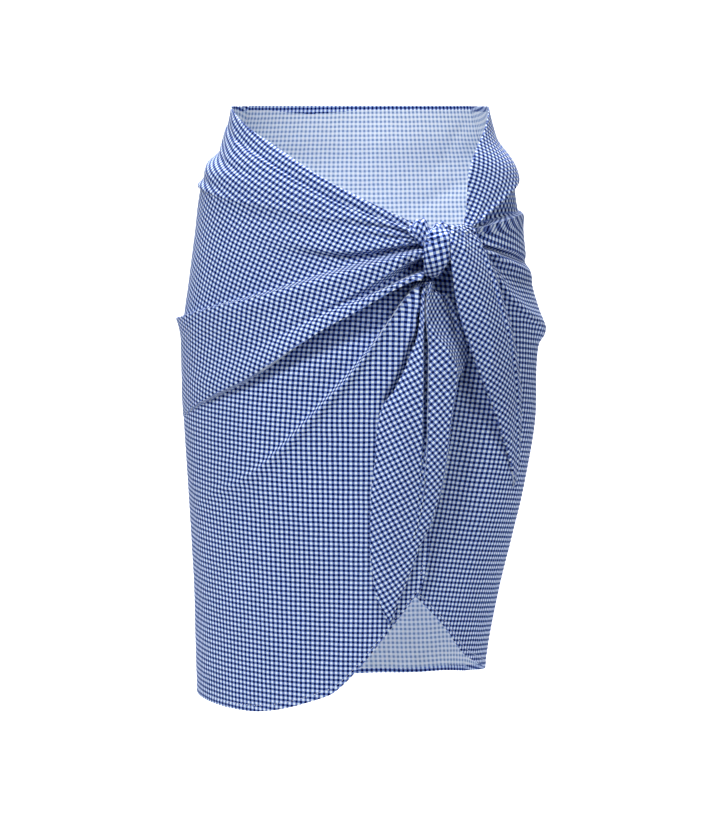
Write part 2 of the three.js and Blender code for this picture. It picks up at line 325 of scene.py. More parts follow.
def ginghamCloth(name, dark, middle, light, sheen):
    f = Finish(name)
    weave = f.node("ShaderNodeUVMap", {"uv_map": "weave"})
    u, v, _ = f.parts(weave)
    metre = 1000.0

    def noise(scale, detail):
        return f.node("ShaderNodeTexNoise", {"noise_dimensions": "2D"},
                      {"Vector": weave, "Scale": scale, "Detail": detail})
    waver = (noise(gingham["waverScale"], 2.0) - 0.5) * gingham["waver"]
    half, blur = gingham["stripeHalf"], gingham["stripeBlur"]

    def stripes(along):
        turns = (along + waver) * (metre / gingham["repeat"]) + gingham["phase"]
        phase = f.maths("FRACT", turns)
        return f.softStep(f.maths("ABSOLUTE", phase - 0.5), half - blur, half + blur, 1.0, 0.0)
    warpStripe, weftStripe = stripes(u), stripes(v)
    threadPitch = math.pi * metre / gingham["threads"]
    crossing = f.maths("SINE", u * threadPitch) * f.maths("SINE", v * threadPitch)
    warpOnTop = f.softStep(crossing, -0.5, 0.5, 0.0, 1.0)
    one = warpStripe * warpOnTop + weftStripe * (1 - warpOnTop)
    both = warpStripe * weftStripe
    either = warpStripe + weftStripe - both
    mixed = either * gingham["evenShare"] + one * gingham["threadShare"] * either
    colour = f.mix(f.maths("MINIMUM", mixed, 1.0), light, middle)
    colour = f.mix(both, colour, dark)
    fade, slub = noise(gingham["fadeScale"], 3.0), noise(gingham["slubScale"], 1.0)
    tone = gingham["tone"] + fade * gingham["fade"] + slub * gingham["slub"]
    toned = f.node("ShaderNodeVectorMath", {"operation": "SCALE"}, {0: colour, "Scale": tone})
    height = crossing * gingham["threadRelief"] + slub * gingham["slubRelief"]
    bump = f.node("ShaderNodeBump", {},
                  {"Height": height, "Strength": gingham["bump"], "Distance": gingham["threadDepth"]})
    rough = gingham["roughness"] - both * gingham["roughChange"] + slub * gingham["roughChange"]
    return f.finish({}, {"Base Color": toned, "Roughness": rough, "Normal": bump, "Sheen Weight": sheen,
                         "Sheen Roughness": gingham["sheenRoughness"], "Sheen Tint": gingham["sheenTint"],
                         "Specular IOR Level": gingham["gloss"]})


rightSide = ginghamCloth("ginghamRightSide", gingham["dark"], gingham["middle"], gingham["light"], gingham["sheen"])
wrongSide = ginghamCloth("ginghamWrongSide", gingham["backDark"], gingham["backMiddle"], gingham["backLight"],
                         gingham["backSheen"])

sewing = {
    "dark": (0.52, 0.63, 0.90, 1),
    "light": (0.84, 0.90, 1.0, 1),
    "twistScale": 2500.0,
    "twistDepth": 0.0001,  # m
    "bump": 0.4,
    "roughness": 0.6,
    "roughChange": 0.2,
    "gloss": 0.2,
}


def sewingThread():
    f = Finish("sewingThread")
    place = f.node("ShaderNodeTexCoord", output=3)
    twist = f.node("ShaderNodeTexNoise", {}, {"Vector": place, "Scale": sewing["twistScale"], "Detail": 1.0})
    colour = f.mix(twist, sewing["dark"], sewing["light"])
    bump = f.node("ShaderNodeBump", {},
                  {"Height": twist, "Strength": sewing["bump"], "Distance": sewing["twistDepth"]})
    return f.finish({}, {"Base Color": colour, "Roughness": sewing["roughness"] + twist * sewing["roughChange"],
                         "Normal": bump, "Specular IOR Level": sewing["gloss"]})


threadFinish = sewingThread()
print("materials made")


def show(name, data):
    made = bpy.data.objects.new(name, data)
    scene.collection.objects.link(made)
    return made


# making a cloth piece from its outer and inner points

def clothPiece(name, outer, inner, weave, node, hemBand=None):
    rows, columns = outer.shape[:2]
    grid = np.arange(rows * columns).reshape(rows, columns)
    a, b = grid[:-1, :-1].ravel(), grid[:-1, 1:].ravel()
    c, d = grid[1:, 1:].ravel(), grid[1:, :-1].ravel()
    rim = np.concatenate([grid[0, :-1], grid[:-1, -1], grid[-1, :0:-1], grid[:0:-1, 0]])
    nextRim = np.roll(rim, -1)
    count = rows * columns
    quads = np.concatenate([
        np.stack([a, d, c, b], axis=1),
        np.stack([a, b, c, d], axis=1) + count,
        np.stack([rim, nextRim, nextRim + count, rim + count], axis=1),
    ])
    points = np.concatenate([outer.reshape(-1, 3), inner.reshape(-1, 3)]) * mm
    mesh = bpy.data.meshes.new(name)
    mesh.vertices.add(len(points))
    mesh.vertices.foreach_set("co", points.ravel())
    mesh.loops.add(quads.size)
    mesh.loops.foreach_set("vertex_index", quads.ravel())
    mesh.polygons.add(len(quads))
    mesh.polygons.foreach_set("loop_start", np.arange(len(quads)) * 4)
    slots = np.zeros(len(quads), int)
    slots[len(a):2 * len(a)] = 1
    if hemBand is not None:
        inBand = hemBand[:-1, :-1].ravel()
        slots[len(a):2 * len(a)][inBand] = 0
    mesh.polygons.foreach_set("material_index", slots)
    mesh.polygons.foreach_set("use_smooth", np.ones(len(quads), bool))
    mesh.update(calc_edges=True)
    flat = np.concatenate([weave.reshape(-1, 2)] * 2) * mm
    layer = mesh.uv_layers.new(name="weave")
    layer.data.foreach_set("uv", flat[quads.ravel()].ravel())
    mesh.materials.append(rightSide)
    mesh.materials.append(wrongSide)
    mesh.validate()
    made = show(name, mesh)
    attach(made, "root")
    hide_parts(node)
    return made


# turned hems and their stitching

hem = {
    "depth": 6.5,
    "raise": 0.45,
    "slopeFrom": 0.2,  # mm past the stitches where the doubled cloth starts to end, and has ended
    "slopeTo": 1.4,
    "groove": 0.5,
    "grooveWidth": 0.9,
    "firstStitch": 1.0,
    "stitchLength": 2.1,
    "stitchGap": 0.9,
    "thread": 0.25,
    "threadSides": 6,
    "stitchShape": [(0.0, 0.35, -0.25), (0.25, 1.0, 0.1), (0.75, 1.0, 0.1), (1.0, 0.35, -0.25)],  # along, size, height
    "roundness": 1.4,  # how much more the cloth faces front and back than sideways
}


def hemRelief(away):
    # the doubled cloth of a turned hem stands up a little, and its row of stitches pulls a groove
    inside = 1 - smooth(hem["depth"] + hem["slopeFrom"], hem["depth"] + hem["slopeTo"], away)
    return hem["raise"] * inside - hem["groove"] * np.exp(-((away - hem["depth"]) / hem["grooveWidth"]) ** 2)


def stitches(name, path):
    # short round threads laid end to end along a path of points in millimetres
    steps = np.linalg.norm(np.diff(path, axis=0), axis=1)
    distance = np.concatenate([[0], np.cumsum(steps)])
    pitch = hem["stitchLength"] + hem["stitchGap"]
    starts = np.arange(hem["firstStitch"], distance[-1] - pitch, pitch)
    shape, sides = hem["stitchShape"], hem["threadSides"]
    points, faces = [], []
    for start in starts:
        ends = [np.array([np.interp(start + part * hem["stitchLength"], distance, path[:, k]) for k in range(3)])
                for part, _, _ in shape]
        ahead = unit(ends[-1] - ends[0])
        outward = unit(np.array([ends[0][0], ends[0][1] * hem["roundness"], 0.0]))
        outward = unit(outward - ahead * (outward @ ahead))
        beside = np.cross(ahead, outward)
        first = len(points)
        for centre, (_, size, height) in zip(ends, shape):
            for side in range(sides):
                turn = 2 * math.pi * side / sides
                points.append(centre + outward * (height + hem["thread"] * size * math.sin(turn))
                              + beside * hem["thread"] * size * math.cos(turn))
        for ring in range(len(shape) - 1):
            for side in range(sides):
                a, b = first + ring * sides + side, first + ring * sides + (side + 1) % sides
                faces.append((a, b, b + sides, a + sides))
        faces.append(tuple(first + side for side in reversed(range(sides))))
        faces.append(tuple(first + (len(shape) - 1) * sides + side for side in range(sides)))
    mesh = bpy.data.meshes.new(name)
    mesh.from_pydata((np.array(points) * mm).tolist(), [], faces)
    mesh.polygons.foreach_set("use_smooth", [True] * len(mesh.polygons))
    mesh.materials.append(threadFinish)
    made = show(name, mesh)
    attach(made, "root")
    return made


def pathAt(points, away, fromEdge):
    # where each line of the grid is fromEdge mm from its edge; away grows from the edge along axis 0
    found = []
    for at in range(points.shape[1]):
        reach = away[:, at]
        found.append([np.interp(fromEdge, reach, points[:, at, k]) for k in range(3)])
    return np.array(found)


# the wraps: rows follow the pull lines, columns go from the side seam to the knot or front edge

seamAngle = 118
seamGap, seamRadius = 0.4, 140  # mm
halfSeam = math.degrees(seamGap / seamRadius / 2)
stationShares = [0, 0.2, 0.5, 0.74, 0.94, 0.965, 1]
seamShare = 0.5  # how much of a fold's height at the side is left at the seam
clothSkin = {"inside": 0.5, "outside": 1.3}  # mm off the solid's inner face
steepest = 0.55  # least share of a slope's own thickness that the wall is worked out with
tucking = {
    "shallow": 0.12,  # share of tuckDepth that a short tuck has, and what a long one adds
    "deep": 0.88,
    "deepFrom": 38,  # mm of tuck
    "deepTo": 44,
    "easeOver": 12,
    "leastTurn": 0.6,  # degrees
    "firstTurn": 0.25,
    "firstDrop": 0.9,
}

overWrap = {
    "columns": 168,
    "tuckDepth": -1.5,
    "pinch": {"x": 68, "z": 0, "spokes": 19, "depth": 1.0, "reach": 66},
    "stations": {"seam": -seamAngle + halfSeam, "side": -90, "hip": -40, "front": -5},
    # tuck: mm the end runs on behind the knot; loose: 1 where the step down to this row hides folded cloth
    "lines": table("seam side hip front endX end sideLift hipLift frontLift endLift grain tuck loose", [
        [132, 132, 97, 49, 66, 12, 2.8, 2, 5, 13, 42, 4, 0],  # waist edge
        [126, 123, 90, 42, 66, 9.6, 0.8, 3.2, 7, 14, 42, 4, 0],
        [119, 113, 80.5, 33.5, 66, 7.4, -0.4, 2.2, 5, 11.5, 42, 4, 0],  # fine crease inside the edge
        [116.5, 109, 78, 31.5, 66, 6.6, 0.4, 4.4, 7.6, 13.6, 42, 4, 0.6],
        [103, 95, 67, 27, 66, 5, -1.4, 5.4, 9.4, 15, 42, 4, 0],
        [92, 85, 61.5, 25, 66, 4.2, -4.4, 5.0, 9.6, 14.5, 42, 4, 0],  # dip between the side rolls
        [80, 72, 53, 23, 66, 3.4, 1.6, 6.2, 9.8, 14.5, 42, 4, 0],
        [60, 58, 40, 19.5, 66, 1.6, -1.0, 5.2, 9.2, 14, 41, 4, 0],
        [51, 50.5, 34, 17.5, 66, 0.8, 2.6, 5.9, 9.4, 14, 38, 4, 0],  # first pull fold
        [46, 45.5, 31, 14.5, 66, -0.6, -1.0, 4.9, 8.7, 12, 30, 4, 0.5],
        [26, 24, 19, 6.5, 66, -1.6, 0, 3, 8.4, 12.5, 27, 4, 0],  # the trough below it begins
        [4, 2, 4, -12, 66, -3.0, 0.4, 4.2, 10.4, 15, 25, 4, 0],
        [-22, -22, -19, -18.5, 66, -5.4, 0.6, 4.2, 2.8, 2, 24, 4, 0.6],  # it runs left from the knot,
        [-87, -87, -61, -28, 66, -8.0, -0.2, 1.0, 3.4, 3.6, 20, 4, 0],  # valley above the main fold
        [-91, -90.5, -65.4, -33.2, 66, -10.8, 8, 9.4, 11.8, 14.5, 13, 5, 0.85],
        [-97, -96, -70.5, -38.5, 66, -13.8, 6, 9.9, 15.4, 21, 12.5, 6, 0],
        [-113, -111, -88, -50, 66, -16, 2.4, 6.5, 13.6, 20, 12.5, 8, 0],
        [-134, -132, -106, -60, 66, -19, 1, 5.4, 13, 18, 12, 10, 0],
        [-144, -142, -113, -64, 66, -21.5, 1, 5, 10.4, -9, 12, 10, 0.5],  # small dark pocket at the knot
        [-150, -148, -119, -67, 66, -30, 1, 5.2, 11, -10, 11, 10, 0],
        [-160, -158, -127, -70, 65, -35, 1, 6.6, 15.5, 15, 10, 10, 0.5],
        [-188, -186, -144, -75.5, 64, -38.5, 1, 9.6, 18, 20.5, 10, 10, 0],
        [-194, -192, -149.5, -80.5, 62, -41.5, 0.8, 8.6, 18, 19, 10, 10, 0],  # overhanging edge
        [-197, -195, -151, -76.5, 61, -39.5, 0.5, 1.2, -9, -12, 7, 11, 1],
        [-216, -213, -168, -93, 60, -44.5, 0.4, 1.6, -1, -9, 6, 12, 0.3],  # large dark pocket
        [-278, -276, -240, -140, 60, -46, 0.6, 3.2, 0.5, -4, 5.5, 12, 0],
        [-290, -288, -249, -149, 60, -50, 0.6, 5.4, 10.5, 13, 4, 12, 0],  # fold from the knot to the side
        [-300, -298, -260, -162, 60, -60, 0.6, 3.6, 6.6, 13, 2, 12, 0.5],
        [-318, -316, -285, -195, 60, -86, 0.6, 3, 4.8, 11, 0, 12, 0],
        [-345, -344, -322, -250, 62, -134, 1.4, 3, 4.5, 9, 0, 8, 0],
        [-385, -384, -375, -320, 74, -220, 2.4, 3, 4.5, 10, 0, 0, 0],
        [-425, -425, -424, -384, 72, -290, 3.2, 2.6, 4.5, 9, 0, 0, 0],
        [-460, -460, -462, -433, 68, -335, 3.4, 2.4, 4.5, 7, 0, 0, 0],
        [-487, -487, -491, -470, 60, -365, 3, 2.4, 4.5, 5, 0, 0, 0],  # hem
    ]),
    # small ridges and troughs: from one place to another, by angle round the hips and height
    "wrinkles": table("angle z toAngle toZ height width", [
        [19, -46, 15, -100, 2.2, 6],
        [-3, 13, 20, 0.5, -1.8, 1.8],
        [-8, 7, 19, -3, 1.5, 2.2],
        [-14, 20, 18, 6, 1.4, 2.2],
        [-46, 36, -12, 17, 0.9, 2.2],
        [12, -62, 13, -110, -1.6, 3],
        [20, -50, 19.5, -95, -2.0, 3],
        [4, -100, -30, -150, 1.4, 9],
        [-74, 120, -56, 84, 1.2, 4],
        [-80, 98, -60, 66, -1.0, 4],
        [-84, 66, -62, 52, 1.0, 4],
        [-70, -110, -40, -90, 1.2, 7],
        [-86, -170, -48, -150, 1.0, 8],
        [-60, -235, -20, -205, -0.8, 9],
        [-100, 20, -104, -300, 1.6, 12],
        [-80, -250, -76, -470, -0.8, 14],
        [-30, -300, -34, -480, 0.9, 16],
        [-8, -330, -10, -465, -0.7, 12],
        [18.7, -72, 16.7, -112, -8.0, 4.2],
        [16.3, -106, 8, -168, -8.0, 4.2],
    ]),
}
underWrap = {
    "columns": 160,
    "tuckDepth": 16,
    "pinch": {"x": 112, "z": 6, "spokes": 15, "depth": 0.8, "reach": 46},
    "stations": {"seam": seamAngle - halfSeam, "side": 90, "hip": 66, "front": 50},
    "lines": table("seam side hipAt hip frontAt front endX end sideLift hipLift frontLift endLift grain tuck loose", [
        [132, 131.8, 63, 102, 43.5, 66, 106, 13, 2.6, 1, 3, 9, 20, 6, 0],
        [122, 120, 64, 92, 45.5, 58, 108.5, 12, 1.2, 2.4, 4.6, 10, 26, 6, 0],
        [104, 100, 66, 77, 49, 46, 112, 11, 1, 4.6, 7, 12, 36, 6, 0],
        [84, 82, 66, 64, 50, 39, 112.5, 10.6, 4.0, 6.4, 8.6, 13, 46, 6, 0.4],
        [68, 66, 66, 52, 51, 33, 113, 10.2, 5.2, 7.4, 9.4, 13, 56, 6, 0],
        [61, 59, 66, 46, 52, 30, 113, 10, 4.6, 8.6, 11, 14, 60, 6, 0.4],  # ridge to the waist
        [58, 56, 67, 43, 53, 27.5, 113, 9.8, 1, 0.8, 1.8, 6, 62, 10, 1],
        [45, 43, 67.5, 34, 53.5, 22.5, 113, 9.4, -2.4, 0, 1.2, 6, 64, 14, 0.5],
        [26.5, 25, 68, 22, 54, 18, 113, 9.2, -1.4, -0.6, 0.4, 5, 64, 20, 0.5],
        [21.5, 20, 68.5, 18, 54.6, 14.4, 113, 8.8, 3.6, 6.6, 10.4, 14, 62, 26, 1],  # second ridge
        [17.5, 16, 68.8, 14, 55, 11.4, 113, 7.4, 4.6, 6.4, 10, 13.5, 58, 32, 0],
        [8, 6, 69, 6, 56, 4, 113, 3, 3.2, 4.4, 7, 10, 48, 38, 0.4],
        [-10, -10, 69, -7, 56, -5, 113, -3, 2.4, 4.8, 7.4, 10.5, 36, 38, 0.4],
        [-24, -23, 69.5, -17.5, 56.5, -12.5, 113, -6.5, 1.6, 4.6, 7.6, 11, 22, 38, 0],
        [-32, -31, 70, -24, 57, -17, 113, -9, -0.6, -1.4, -0.6, 4, 12, 38, 0.6],  # dark valley
        [-42, -41, 69, -34, 57, -26, 113, -12, 3, 5.4, 8.6, 12, 4, 38, 0.5],
        [-55, -53, 68.5, -46, 57, -37, 113, -15, 2.8, 0.2, 0, 4, 0, 38, 0.6],
        [-66, -64, 68, -56, 57, -46, 113, -17, 3.8, 2, 2.4, 7, -2, 38, 0],
        [-84, -82, 69, -71, 58, -56, 113, -19, 6.8, 5, 6, 10, -4, 38, 0],
        [-102, -100, 70, -85, 58, -66, 113, -22, 12.4, 9.6, 9, 11, -4, 39.5, 0],  # lowest ridge, round the side
        [-108.5, -106.5, 69.5, -91, 57, -71, 112, -25, 11.2, 4.4, 3, 5, -3, 41.5, 0.6],
        [-121, -119, 68, -106, 55, -87, 107, -31, 4.6, 1.6, -2, -8, 0, 44, 0],
        [-150, -150, 64, -142, 46, -114, 60, -52, 2.4, 0.4, -9, -14, 6, 0, 0],
        [-200, -200, 62, -192, 40, -160, 42, -110, 3.2, 0.6, -12, -12, 8, 0, 0],
        [-260, -260, 60, -250, 36, -222, 24, -180, 3.6, 0.8, -11, -10, 8, 0, 0],
        [-325, -323, 60, -312, 36, -284, 12, -245, 2.6, 0.8, -5, -5, 8, 0, 0],
        [-385, -378, 60, -360, 38, -328, 8, -284, 1.8, 0.6, -2, -2, 8, 0, 0],
        [-432, -424, 60, -401, 39, -363, 14, -310, 2.0, 0.6, 0, 0, 8, 0, 0],
        [-477.5, -464, 58, -439, 39, -398, 24, -336, 2.2, 0.6, 0.6, 0.6, 7, 0, 0],
    ]),
    "wrinkles": table("angle z toAngle toZ height width", [
        [88, -130, 84, -440, 1.0, 12],
        [62, -150, 66, -400, -0.8, 9],
        [42, -120, 50, -380, 1.0, 8],
        [48, -100, 62, -150, 1.2, 6],
        [104, 60, 108, -300, 1.2, 12],
        [100, -40, 76, -44, 0.8, 5],
        [34, -160, 36, -330, -0.9, 6],
    ]),
}

rowPlan = {"step": 2.3, "fewest": 5, "most": 40, "hemDepth": 7.0, "hemRows": 9, "clear": 0.02}


def rowPlaces(lengths):
    # rows closer than the step inside the short steps of a fold, and under 1 mm apart in the hem
    places = [np.zeros(1)]
    for at, length in enumerate(lengths):
        count = int(np.clip(round(length / rowPlan["step"]), rowPlan["fewest"], rowPlan["most"]))
        places.append(at + np.arange(1, count + 1) / count)
    last, turned = len(lengths) - 1, rowPlan["hemDepth"] / lengths[-1]
    kept = np.concatenate(places)
    kept = kept[kept < last + 1 - turned - rowPlan["clear"]]
    return np.concatenate([kept, last + 1 - turned * np.linspace(1, 0, rowPlan["hemRows"])])


wrinkleForm = {"radius": 165, "bow": 0.06, "fadeIn": (-0.12, 0.25), "fadeOut": (0.75, 1.12)}
gathers = {"front": (60, 110), "clear": (1, 6), "full": 0.4, "sway": 1.5, "second": 0.4, "secondPitch": 2.3}


def wrinkled(form, wrinkles):
    # raises or sinks the cloth along each line, most at its middle and softly out to nothing
    perDegree = math.radians(1) * wrinkleForm["radius"]
    for at in range(len(wrinkles["z"])):
        line = {key: values[at] for key, values in wrinkles.items()}
        ahead = np.array([(line["toAngle"] - line["angle"]) * perDegree, line["toZ"] - line["z"]])
        length = np.linalg.norm(ahead)
        ahead = ahead / length
        x, z = (form["angle"] - line["angle"]) * perDegree, form["z"] - line["z"]
        along = (x * ahead[0] + z * ahead[1]) / length
        bow = wrinkleForm["bow"] * length * np.sin(math.pi * np.clip(along, 0, 1))
        away = -x * ahead[1] + z * ahead[0] - bow
        fade = smooth(*wrinkleForm["fadeIn"], along) * (1 - smooth(*wrinkleForm["fadeOut"], along))
        form["lift"] = form["lift"] + line["height"] * fade * np.exp(-(away / line["width"]) ** 2)
    return form


def pinched(form, pinch):
    # fine gathers that run out from the knot like spokes
    base = figurePoints(form["angle"], form["z"], form["lift"])
    x, z = base[..., 0] - pinch["x"], base[..., 2] - pinch["z"]
    away, turn = np.hypot(x, z), np.arctan2(z, x)
    front = smooth(*gathers["front"], -base[..., 1])
    fade = smooth(*gathers["clear"], away)
    fade = fade * (1 - smooth(pinch["reach"] * gathers["full"], pinch["reach"], away)) * front
    spokes = np.cos(pinch["spokes"] * turn + gathers["sway"] * np.sin(2 * turn))
    spokes = spokes + gathers["second"] * np.cos(gathers["secondPitch"] * pinch["spokes"] * turn)
    form["lift"] = form["lift"] + pinch["depth"] * fade * spokes
    return form


def wrapForm(wrap):
    lines, stations = wrap["lines"], wrap["stations"]
    count = len(lines["seam"])
    share = np.linspace(0, 1, wrap["columns"] + 1)
    angles, heights, lifts = [], [], []
    for at in range(count):
        line = {key: values[at] for key, values in lines.items()}
        towards = 1 if stations["seam"] < 0 else -1
        tuckX = line["endX"] + towards * line["tuck"]
        longTuck = smooth(tucking["deepFrom"], tucking["deepTo"], line["tuck"])
        depth = wrap["tuckDepth"] * (tucking["shallow"] + tucking["deep"] * longTuck)
        tuckLift = line["endLift"] - smooth(0, tucking["easeOver"], line["tuck"]) * (line["endLift"] + depth)
        end = float(angleAtX(line["endX"], line["end"], line["endLift"]))
        tuck = float(angleAtX(tuckX, line["end"] - 1, tuckLift))
        tuck = end + towards * max(abs(tuck - end), tucking["leastTurn"])
        stops = [stations["seam"], stations["side"], line.get("hipAt", stations["hip"]),
                 line.get("frontAt", stations["front"]), end, end + (tuck - end) * tucking["firstTurn"], tuck]
        angles.append(curveThrough(stationShares, stops)(share))
        height = [line[key] for key in ("seam", "side", "hip", "front", "end", "end", "end")]
        heights.append(curveThrough(stationShares, height)(share))
        lift = [seamShare * line["sideLift"]] + [line[key + "Lift"] for key in ("side", "hip", "front", "end")]
        lift += [line["endLift"] + (tuckLift - line["endLift"]) * tucking["firstDrop"], tuckLift]
        lifts.append(curveThrough(stationShares, lift)(share))
    lengths = -np.diff(np.array(heights), axis=0).mean(axis=1)
    rows = rowPlaces(lengths)
    lineAt = np.arange(count)
    angle = curveThrough(lineAt, np.array(angles))(rows)
    z = curveThrough(lineAt, np.array(heights))(rows)
    lift = curveThrough(lineAt, np.array(lifts))(rows)
    grain = curveThrough(lineAt, lines["grain"])(rows)[:, None] * smooth(0.0, 0.26, share)[None, :]
    loose = lines["loose"][np.ceil(rows).astype(int)][:, None] * smooth(0.04, 0.3, share)[None, :]
    tucked = smooth(0, 8, curveThrough(lineAt, lines["tuck"])(rows))[:, None] + 0 * angle
    if angle[0, 0] > angle[0, -1]:
        angle, z, lift, grain, loose = (part[:, ::-1] for part in (angle, z, lift, grain, loose))
    form = {"angle": angle, "z": z, "lift": lift, "grain": grain, "loose": loose, "tucked": tucked}
    return pinched(wrinkled(form, wrap["wrinkles"]), wrap["pinch"])


def grainFromRows(form):
    # the rows' own fall on the smooth figure, taken off, so that folds along the rows leave the weave whole
    ahead = np.gradient(figurePoints(form["angle"], form["z"], 0), axis=1)
    fall = np.degrees(np.arctan2(-ahead[..., 2], np.hypot(ahead[..., 0], ahead[..., 1])))
    return form["grain"] - fall


def wallPoints(form):
    base = figurePoints(form["angle"], form["z"], form["lift"])
    normal = normalsOf(base)
    outward = unit(figurePoints(form["angle"], form["z"], form["lift"] + 1) - base)
    facing = np.maximum(np.abs((normal * outward).sum(-1, keepdims=True)), steepest)
    return base + outward * clothSkin["outside"] / facing, base + outward * clothSkin["inside"] / facing


overForm, underForm = wrapForm(overWrap), wrapForm(underWrap)

# the back comes first: the weave of both wraps carries on from its edges
back = {
    "columns": 136,
    "hem": table("angle z", [
        [118, -477.5], [132, -482], [145, -487], [160, -490.5], [180, -493], [200, -493], [225, -491], [242, -487]]),
    "top": 132.5,
    "height": 618,  # mm, rough, for the rows near an edge
    "edgeBand": 9,
    "edgeRows": 12,
    "middleRows": 270,
    "seamHold": 0.1,
    "runOnEase": 1.5,
    "waistStitch": 1.5,  # mm that the waist's stitches lie nearer its edge
    "foldsRunOn": 36,  # degrees over which the wraps' folds die out behind the seams
    "waves": 4,
    "waveDepth": 3,
    "waistTurn": 4.2,  # mm of right side that shows inside the waist edge
    "waistTurnDeep": 8.4,  # and where the turning is rolled deepest
    "deepAt": 203,  # at this angle, fading over deepWidth to each side
    "deepWidth": 17,
    "wrinkles": table("angle z toAngle toZ height width", [
        [122, 118, 150, 60, 1.6, 6],
        [120, 60, 158, 20, 2.0, 8],
        [122, -30, 160, -60, 2.2, 9],
        [121, -92, 148, -112, 2.6, 8],
        [238, 112, 208, 66, 1.6, 6],
        [240, 44, 204, 16, 2.0, 8],
        [240, -92, 206, -122, 2.8, 8],
        [239, -160, 212, -186, 1.4, 9],
        [170, 40, 190, 30, 1.0, 10],
        [140, -130, 146, -470, 1.8, 14],
        [180, -60, 176, -470, 1.6, 16],
        [218, -150, 214, -470, 2.0, 14],
        [160, -220, 162, -480, -1.4, 10],
        [198, -180, 197, -480, -1.2, 11],
    ]),
}
nearEdge = np.linspace(0, back["edgeBand"], back["edgeRows"]) / back["height"]
level = np.concatenate([nearEdge, np.linspace(nearEdge[-1], 1 - nearEdge[-1], back["middleRows"])[1:-1],
                        1 - nearEdge[::-1]])[:, None]
share = np.linspace(0, 1, back["columns"] + 1)[None, :]
backAngle = seamAngle + halfSeam + (360 - 2 * seamAngle - 2 * halfSeam) * share + 0 * level
hemZ = curveThrough(back["hem"]["angle"], back["hem"]["z"])(backAngle[0])[None, :]
backForm = {
    "angle": backAngle,
    "z": back["top"] + (hemZ - back["top"]) * level,
    "lift": back["waveDepth"] * level * (0.5 - 0.5 * np.cos(2 * math.pi * back["waves"] * share)),
}
seamHold = smooth(0, back["seamHold"], share) * smooth(0, back["seamHold"], 1 - share)
flatLift = backForm["lift"]
backForm = wrinkled(backForm, back["wrinkles"])
backForm["lift"] = flatLift + (backForm["lift"] - flatLift) * seamHold
for form, column, fromSeam in ((underForm, -1, backAngle - backAngle[:, :1]),
                               (overForm, 0, backAngle[:, -1:] - backAngle)):
    run = np.interp(-backForm["z"], -form["z"][:, column], form["lift"][:, column])
    backForm["lift"] = backForm["lift"] + run * (1 - smooth(0, back["foldsRunOn"], fromSeam)) ** back["runOnEase"]
fromTop, fromHem = back["top"] - backForm["z"], backForm["z"] - hemZ
backForm["lift"] = backForm["lift"] + hemRelief(np.minimum(fromTop + back["waistStitch"], fromHem))
outer, inner = wallPoints(backForm)
backWeave = relaxWeave(outer, 0 * backAngle, 0 * backAngle, noPins(backAngle.shape))
deep = np.exp(-((backAngle - back["deepAt"]) / back["deepWidth"]) ** 2)
turned = back["waistTurn"] + (back["waistTurnDeep"] - back["waistTurn"]) * deep
backPiece = clothPiece("backCloth", outer, inner, backWeave, "back",
                       hemBand=(fromTop < turned - 0.01) | (fromHem <= hem["depth"]))
backStitches = [
    stitches("backHemStitches", pathAt(outer[::-1], fromHem[::-1], hem["depth"])),
    stitches("backWaistStitches", pathAt(outer, fromTop, hem["depth"] - back["waistStitch"])),
]
print("back made")


def seamPins(form, column, backColumn):
    pins = noPins(form["angle"].shape)
    seamZ, seamWeave = backForm["z"][:, backColumn], backWeave[:, backColumn]
    for part in (0, 1):
        pins[:, column, part] = np.interp(-form["z"][:, column], -seamZ, seamWeave[:, part])
    return pins


wrapEdge = {"behindKnot": 50, "seamHold": 0.04, "openUnder": 0.02, "hemEnd": 6, "frontStart": 4, "frontEnd": 7}


def wrapPiece(name, form, node, seamColumn, backColumn):
    plain, _ = wallPoints(form)
    downFromTop, fromSeam = distanceDown(plain), distanceAlong(plain)
    fromHem = downFromTop[-1:] - downFromTop
    frontColumn = -1 if seamColumn == 0 else 0
    fromFront = np.abs(fromSeam - fromSeam[:, frontColumn][:, None])
    fromFront = fromFront + wrapEdge["behindKnot"] * form["tucked"]
    away = np.minimum(fromHem, fromFront)
    ends = (0, 1) if seamColumn == 0 else (1, 0)
    seamHold = smooth(0, wrapEdge["seamHold"], np.linspace(*ends, away.shape[1]))
    form["lift"] = form["lift"] + hemRelief(away) * seamHold
    outer, inner = wallPoints(form)
    weave = relaxWeave(outer, grainFromRows(form), form["loose"], seamPins(form, seamColumn, backColumn))
    piece = clothPiece(name + "Cloth", outer, inner, weave, node,
                       hemBand=(away <= hem["depth"]) | (downFromTop < back["waistTurn"]))
    hemPath = pathAt(outer[::-1], fromHem[::-1], hem["depth"])
    hemEnd = wrapEdge["hemEnd"]
    pieces = [stitches(name + "HemStitches", hemPath[:-hemEnd] if seamColumn == 0 else hemPath[hemEnd:])]
    openRows = form["tucked"][:, 0] < wrapEdge["openUnder"]
    across = outer[openRows].transpose(1, 0, 2)
    reach = fromFront[openRows].T
    if seamColumn == 0:
        across, reach = across[::-1], reach[::-1]
    frontPath = pathAt(across, reach, hem["depth"])
    pieces.append(stitches(name + "FrontStitches", frontPath[wrapEdge["frontStart"]:-wrapEdge["frontEnd"]]))
    print(name, "made")


wrapPiece("overWrap", overForm, "over_wrap", 0, -1)
wrapPiece("underWrap", underForm, "under_wrap", -1, 0)


# the hanging ends: rows from the knot to the tip, stations across each

